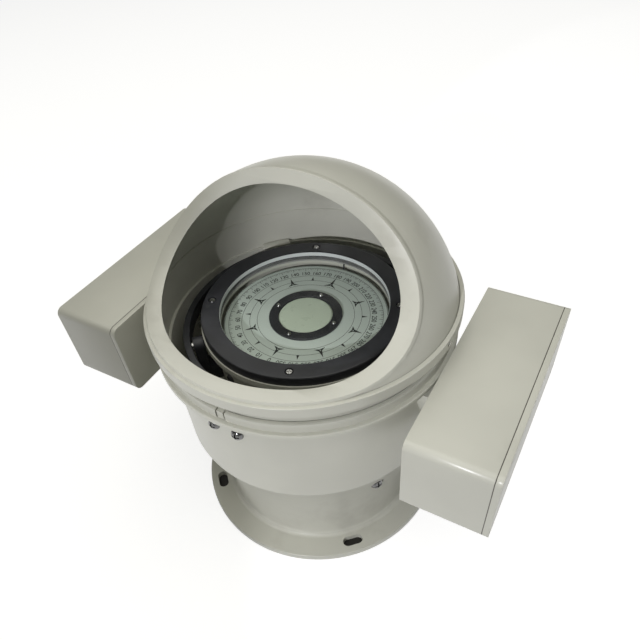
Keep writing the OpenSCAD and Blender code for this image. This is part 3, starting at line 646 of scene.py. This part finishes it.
class COMPASS_OT_card(CompassOperator, bpy.types.Operator):
    """Prints the compass card and finishes its centre"""
    bl_idname = "compass.card"
    bl_label = "Card"

    def thicken(self):
        """Raises the selected outline by the ink's depth"""
        bpy.ops.mesh.extrude_region_move(
            TRANSFORM_OT_translate={"value": (0, 0, self.dial.ink_depth)})
        bpy.ops.mesh.select_all(action="SELECT")
        bpy.ops.mesh.normals_make_consistent(inside=False)

    def ring(self, radius, width):
        bpy.ops.object.select_all(action="DESELECT")
        bpy.ops.mesh.primitive_circle_add(
            vertices=192, radius=radius + width / 2, fill_type="NGON", location=(0, 0, CARD_TOP))
        obj = bpy.context.view_layer.objects.active
        in_edit_mode(
            obj,
            lambda: bpy.ops.mesh.inset(thickness=width),
            lambda: bpy.ops.mesh.delete(type="ONLY_FACE"),
            lambda: bpy.ops.mesh.select_all(action="SELECT"),
            self.thicken,
        )
        place_in_mesh(obj)
        return obj

    def prism(self, corners, outline):
        """A flat printed shape: a circle of that many corners, moved to the outline"""
        bpy.ops.object.select_all(action="DESELECT")
        bpy.ops.mesh.primitive_circle_add(vertices=corners, radius=MM, fill_type="NGON")
        obj = bpy.context.view_layer.objects.active
        for vertex, (x, y) in zip(obj.data.vertices, outline):
            vertex.co = (x, y, CARD_TOP)
        in_edit_mode(obj, self.thicken)
        return obj

    def tick(self, length, width):
        outer = self.dial.scale_r
        inner = outer - length
        half = width / 2
        return self.prism(4, [(half, outer), (-half, outer), (-half, inner), (half, inner)])

    def point(self, foot, length, width):
        """A slender triangle that stands on the circle of radius foot"""
        return self.prism(3, [(0, foot + length), (-width / 2, foot), (width / 2, foot)])

    def numeral(self, degrees):
        bpy.ops.object.select_all(action="DESELECT")
        bpy.ops.object.text_add(location=(0, 0, 0))
        text = bpy.context.view_layer.objects.active
        text.data.body = str(degrees)
        text.data.align_x = "CENTER"
        text.data.size = self.dial.numeral_h / CAPITALS
        text.data.extrude = self.dial.ink_depth / 2
        text.data.offset = DIGIT_WEIGHT
        bpy.ops.object.convert(target="MESH")
        obj = bpy.context.view_layer.objects.active
        raise_by = Vector((0, self.dial.numeral_r, CARD_TOP + self.dial.ink_depth / 2))
        obj.data.transform(Matrix.Translation(raise_by) @ Matrix.Diagonal((DIGIT_WIDTH, 1, 1, 1)))
        return obj

    def star(self, size):
        """Three points round a hub, that stands on the inner circle"""
        length, width = STAR_POINT
        points = [self.point(STAR_HUB, length * size, width)]
        length, width = STAR_ARM
        for side in (-1, 1):
            arm = self.point(STAR_HUB, length * size, width)
            arm.data.transform(Matrix.Rotation(side * STAR_ARM_ANGLE, 4, "Z"))
            points.append(arm)
        whole = join("star", points)
        whole.data.transform(Matrix.Translation((0, self.dial.inner_r + STAR_OUT, 0)))
        return whole

    def round_the_card(self, master, angles):
        """Copies of the master at the angles; 0 lies at the front and the numbers run clockwise"""
        copies = [
            copy_of(master, Matrix.Rotation(math.pi - math.radians(angle), 4, "Z")) for angle in angles]
        bpy.data.objects.remove(master)
        return copies

    def execute(self, context):
        dial = self.dial
        marks = [self.ring(CARD_R - RIM_LINE_IN, dial.line * RIM_LINE)]
        for radius in (dial.scale_r, dial.outer_r, dial.middle_r, dial.inner_r):
            marks.append(self.ring(radius, dial.line))
        two_degrees = [angle for angle in range(0, 360, 2) if angle % 10]
        marks += self.round_the_card(self.tick(dial.tick_1, SHORT_TICK_WIDTH), two_degrees)
        marks += self.round_the_card(self.tick(dial.tick_5, MIDDLE_TICK_WIDTH), range(5, 360, 10))
        marks += self.round_the_card(self.tick(dial.tick_10, LONG_TICK_WIDTH), range(0, 360, 10))
        between = [22.5 + 45 * i for i in range(8)]
        marks += self.round_the_card(self.point(dial.middle_r, *SMALL_POINT), between)
        for angle in range(0, 360, 45):
            star = self.star(LARGE_STAR if angle == LARGE_STAR_AT else 1.0)
            marks += self.round_the_card(star, [angle])
        for degrees in range(0, 360, 10):
            marks += self.round_the_card(self.numeral(degrees), [degrees])
        ink = join("card_print", marks)
        finish(ink, "card", matt("card_ink", self.colours.ink, 0.45, 0.6, spread=0.2))

        ground = matt("card_ground", self.colours.card, 0.42, 0.55, spread=0.02)
        for node in ("card_disc", "card_float"):
            paint(node, ground)
        paint("card_window", matt("card_centre", self.colours.window, 0.25, 0.35, spread=0.03))
        black = satin_black("ring_black", self.colours.black, grain=1200, low=0.3, high=0.42)
        paint("card_clamp_ring", black)
        return {"FINISHED"}


class COMPASS_OT_screws(CompassOperator, bpy.types.Operator):
    """Puts domed cross-slotted heads on the screws of the drum and neck"""
    bl_idname = "compass.screws"
    bl_label = "Drum and neck screws"

    def bar(self, angle, radius, height):
        bpy.ops.object.select_all(action="DESELECT")
        bpy.ops.mesh.primitive_cube_add(size=1, location=(0, 0, height), rotation=(0, 0, angle))
        bar = bpy.context.view_layer.objects.active
        bar.scale = (CROSS_LENGTH * radius, CROSS_WIDTH * radius, CROSS_HEIGHT * height)
        place_in_mesh(bar)
        return bar

    def head(self, radius, height):
        """Half of a flattened ball with a cross cut into it"""
        bpy.ops.object.select_all(action="DESELECT")
        bpy.ops.mesh.primitive_uv_sphere_add(
            segments=32, ring_count=16, radius=radius, scale=(1, 1, height / radius))
        head = bpy.context.view_layer.objects.active
        place_in_mesh(head)
        in_edit_mode(head, lambda: bpy.ops.mesh.bisect(
            plane_co=(0, 0, 0), plane_no=(0, 0, 1), use_fill=True, clear_inner=True))
        for angle in (0, math.pi / 2):
            bar = self.bar(angle, radius, height)
            cut = head.modifiers.new("cross", "BOOLEAN")
            cut.operation = "DIFFERENCE"
            cut.object = bar
            select_only(head)
            bpy.ops.object.modifier_apply(modifier="cross")
            bpy.data.objects.remove(bar)
        select_only(head)
        bpy.ops.object.shade_smooth_by_angle(angle=HEAD_SMOOTH)
        return head

    def head_for(self, shank):
        """The domed head of a screw that lies level and points at the upright axis"""
        points = [vertex.co for vertex in shank.data.vertices]
        middle = sum(points, Vector()) / len(points)
        outward = Vector((middle.x, middle.y, 0)).normalized()
        foot = Vector((0, 0, middle.z))
        along = [(point - foot).dot(outward) for point in points]
        across = [(point - foot - outward * a).length for point, a in zip(points, along)]
        widest = max(across)
        # The head's seat is where the widest points lie
        seat = min(a for a, width in zip(along, across) if width > HEAD_EDGE * widest)
        radius = widest + HEAD_COVER
        head = self.head(radius, HEAD_RISE * radius)
        turn = outward.to_track_quat("Z", "Y").to_matrix().to_4x4()
        head.data.transform(Matrix.Translation(foot + outward * seat) @ turn)
        return head

    def execute(self, context):
        steel = metal("chromed_steel", self.colours.screw, 0.12, 0.2)
        for node in ("lamp_bracket_screws", "rack_screws"):
            whole = merged_copy(node)
            in_edit_mode(whole, lambda: bpy.ops.mesh.separate(type="LOOSE"))
            shanks = [obj for obj in context.scene.objects if obj.name.startswith(whole.name)]
            heads = [self.head_for(shank) for shank in shanks]
            stand_for(join(whole.name, shanks + heads), node, steel)
        return {"FINISHED"}


HARDWARE = {
    "bright_steel": (
        "casing_bolts", "bearing_block_screws", "outer_pivot_pins", "inner_pivot_pins",
        "bezel_screws", "pivot_pin", "bottom_ring_screws", "card_clamp_screws", "saddle_bolts",
        "cover_screws"),
    "dark_steel": (
        "athwart_magnets", "fore_aft_magnets", "heeling_magnet", "card_magnets", "hood_set_screws",
        "arm_screws", "filler_plug"),
    "grey_iron": (
        "magnet_rack", "balance_weight", "starboard_iron_plates", "port_iron_plates"),
    "turned_brass": (
        "heeling_tube", "magnet_bucket", "pivot_bridge", "expansion_diaphragm", "jewel_cap"),
}


class COMPASS_OT_hardware(CompassOperator, bpy.types.Operator):
    """Finishes the screws, pins, magnets and brass parts"""
    bl_idname = "compass.hardware"
    bl_label = "Hardware"

    def execute(self, context):
        finishes = {
            "bright_steel": metal("bright_steel", (0.66, 0.66, 0.64), 0.22, 0.36),
            "dark_steel": metal("dark_steel", (0.22, 0.22, 0.23), 0.35, 0.5),
            "grey_iron": metal("grey_iron", (0.3, 0.3, 0.3), 0.5, 0.7, grain=500),
            "turned_brass": metal("turned_brass", (0.7, 0.55, 0.27), 0.25, 0.4),
        }
        for name, nodes in HARDWARE.items():
            for node in nodes:
                paint(node, finishes[name])
        return {"FINISHED"}


class COMPASS_OT_lamp(CompassOperator, bpy.types.Operator):
    """Finishes the lamp and its bracket inside the casing"""
    bl_idname = "compass.lamp"
    bl_label = "Lamp"

    def execute(self, context):
        cream = enamel("bracket_enamel", self.colours.enamel, self.colours.enamel_dirt, wear=0.4)
        paint("lamp_bracket", cream)
        paint("lamp_holder", matt("holder_black", (0.03, 0.03, 0.032)))
        paint("lamp_bulb", matt("frosted_bulb", (0.8, 0.78, 0.7), 0.2, 0.3))
        return {"FINISHED"}


class COMPASS_OT_glass(CompassOperator, bpy.types.Operator):
    """Glazes the bowl above and below"""
    bl_idname = "compass.glass"
    bl_label = "Glass"

    def execute(self, context):
        pane = clear_glass("clear_glass", (0.985, 0.99, 0.985))
        for node in ("top_glass", "bottom_glass"):
            paint(node, pane)
        paint("glass_gasket", matt("gasket_rubber", (0.3, 0.3, 0.29), 0.6, 0.75))
        return {"FINISHED"}


class COMPASS_OT_stage(CompassOperator, bpy.types.Operator):
    """Sets the floor, the lamps and the camera"""
    bl_idname = "compass.stage"
    bl_label = "Studio"

    def floor(self):
        """Pale floor that looks white to the camera, with painted shade below the flange so that its
        slots look dark
        """
        bpy.ops.object.select_all(action="DESELECT")
        bpy.ops.mesh.primitive_plane_add(size=FLOOR_SIZE, location=(0, 0, -FLOOR_DROP))
        plane = bpy.context.view_layer.objects.active
        plane.name = "studio_floor"
        place_in_mesh(plane)
        n = Nodes("studio_floor")
        # Painted shade: inside the flange's edge the floor takes the dark colour and does not glow
        clear = n.remap(n.from_axis(), FLANGE_R - 3 * MM, FLANGE_R - 2 * MM)
        n.colour(n.blend(clear, SLOT_SHADE_COLOUR, FLOOR_COLOUR))
        n.shader.inputs["Roughness"].default_value = 0.9
        n.shader.inputs["Specular IOR Level"].default_value = 0.1
        path = n.add("LightPath")
        seen = n.larger(path.outputs["Is Camera Ray"], path.outputs["Is Transmission Ray"])
        seen = n.larger(seen, path.outputs["Is Glossy Ray"])
        n.shader.inputs["Emission Color"].default_value = (1, 1, 1, 1)
        glow = n.times(n.times(seen, clear), FLOOR_GLOW)
        n.link(glow, n.shader.inputs["Emission Strength"])
        dress(plane, n.material)

    def lamp(self, name, kind, power, colour, place, target, size):
        light = bpy.data.lights.new(name, kind)
        light.energy = power
        light.color = colour
        if kind == "AREA":
            light.size = size
        else:
            light.shadow_soft_size = size
        lamp = bpy.data.objects.new(name, light)
        lamp.location = place
        lamp.rotation_euler = (Vector(target) - Vector(place)).to_track_quat("-Z", "Y").to_euler()
        bpy.context.scene.collection.objects.link(lamp)
        return light

    def sky(self, scene, strength):
        """Even light that looks white to the camera and through glass"""
        world = bpy.data.worlds.new("studio")
        scene.world = world
        world.use_nodes = True
        tree = world.node_tree
        sky = tree.nodes["Background"]
        sky.inputs["Color"].default_value = (1, 1, 1, 1)
        path = tree.nodes.new("ShaderNodeLightPath")
        seen = tree.nodes.new("ShaderNodeMath")
        seen.operation = "MAXIMUM"
        tree.links.new(path.outputs["Is Camera Ray"], seen.inputs[0])
        tree.links.new(path.outputs["Is Transmission Ray"], seen.inputs[1])
        level = tree.nodes.new("ShaderNodeMapRange")
        tree.links.new(seen.outputs[0], level.inputs["Value"])
        level.inputs["To Min"].default_value = strength
        level.inputs["To Max"].default_value = 1.0
        tree.links.new(level.outputs["Result"], sky.inputs["Strength"])

    def camera(self, scene, studio):
        data = bpy.data.cameras.new("camera")
        camera = bpy.data.objects.new("camera", data)
        camera.location = studio.camera_place
        camera.rotation_euler = Euler(studio.camera_turn, "XYZ")
        data.sensor_width = 36
        data.lens = studio.lens
        data.shift_x = studio.shift_x
        data.shift_y = studio.shift_y
        data.clip_start = 0.01
        scene.collection.objects.link(camera)
        scene.camera = camera

    def execute(self, context):
        scene = bpy.context.scene
        studio = scene.compass_studio
        self.floor()
        self.lamp("top_lamp", "AREA", studio.top_power, TOP_COLOUR, TOP_PLACE, TOP_AIM, TOP_SIZE)
        spot = self.lamp(
            "front_lamp", "SPOT", studio.front_power, FRONT_COLOUR, FRONT_PLACE, FRONT_AIM, FRONT_SIZE)
        spot.spot_size = FRONT_CONE
        spot.spot_blend = FRONT_BLEND
        self.sky(scene, studio.sky)
        self.camera(scene, studio)
        scene.view_settings.view_transform = "Standard"
        return {"FINISHED"}


OPERATORS = (
    COMPASS_OT_castings, COMPASS_OT_boxes, COMPASS_OT_bowl, COMPASS_OT_card, COMPASS_OT_screws,
    COMPASS_OT_hardware, COMPASS_OT_lamp, COMPASS_OT_glass, COMPASS_OT_stage,
)
GROUPS = {
    "compass_colours": CompassColours, "compass_dial": CompassDial, "compass_studio": CompassStudio,
}


class COMPASS_PT_panel(bpy.types.Panel):
    bl_label = "Compass"
    bl_idname = "COMPASS_PT_panel"
    bl_space_type = "VIEW_3D"
    bl_region_type = "UI"
    bl_category = "Compass"

    def draw(self, context):
        for name, group in GROUPS.items():
            settings = self.layout.box()
            for setting in group.__annotations__:
                settings.prop(getattr(context.scene, name), setting)
        for operator in OPERATORS:
            self.layout.operator(operator.bl_idname)


def register():
    for cls in (*GROUPS.values(), *OPERATORS, COMPASS_PT_panel):
        bpy.utils.register_class(cls)
    for name, cls in GROUPS.items():
        setattr(bpy.types.Scene, name, PointerProperty(type=cls))


def unregister():
    for name in GROUPS:
        delattr(bpy.types.Scene, name)
    for cls in (COMPASS_PT_panel, *OPERATORS, *GROUPS.values()):
        bpy.utils.unregister_class(cls)


def main():
    register()
    for operator in OPERATORS:
        group, name = operator.bl_idname.split(".")
        getattr(getattr(bpy.ops, group), name)()


if __name__ == "__main__":
    main()
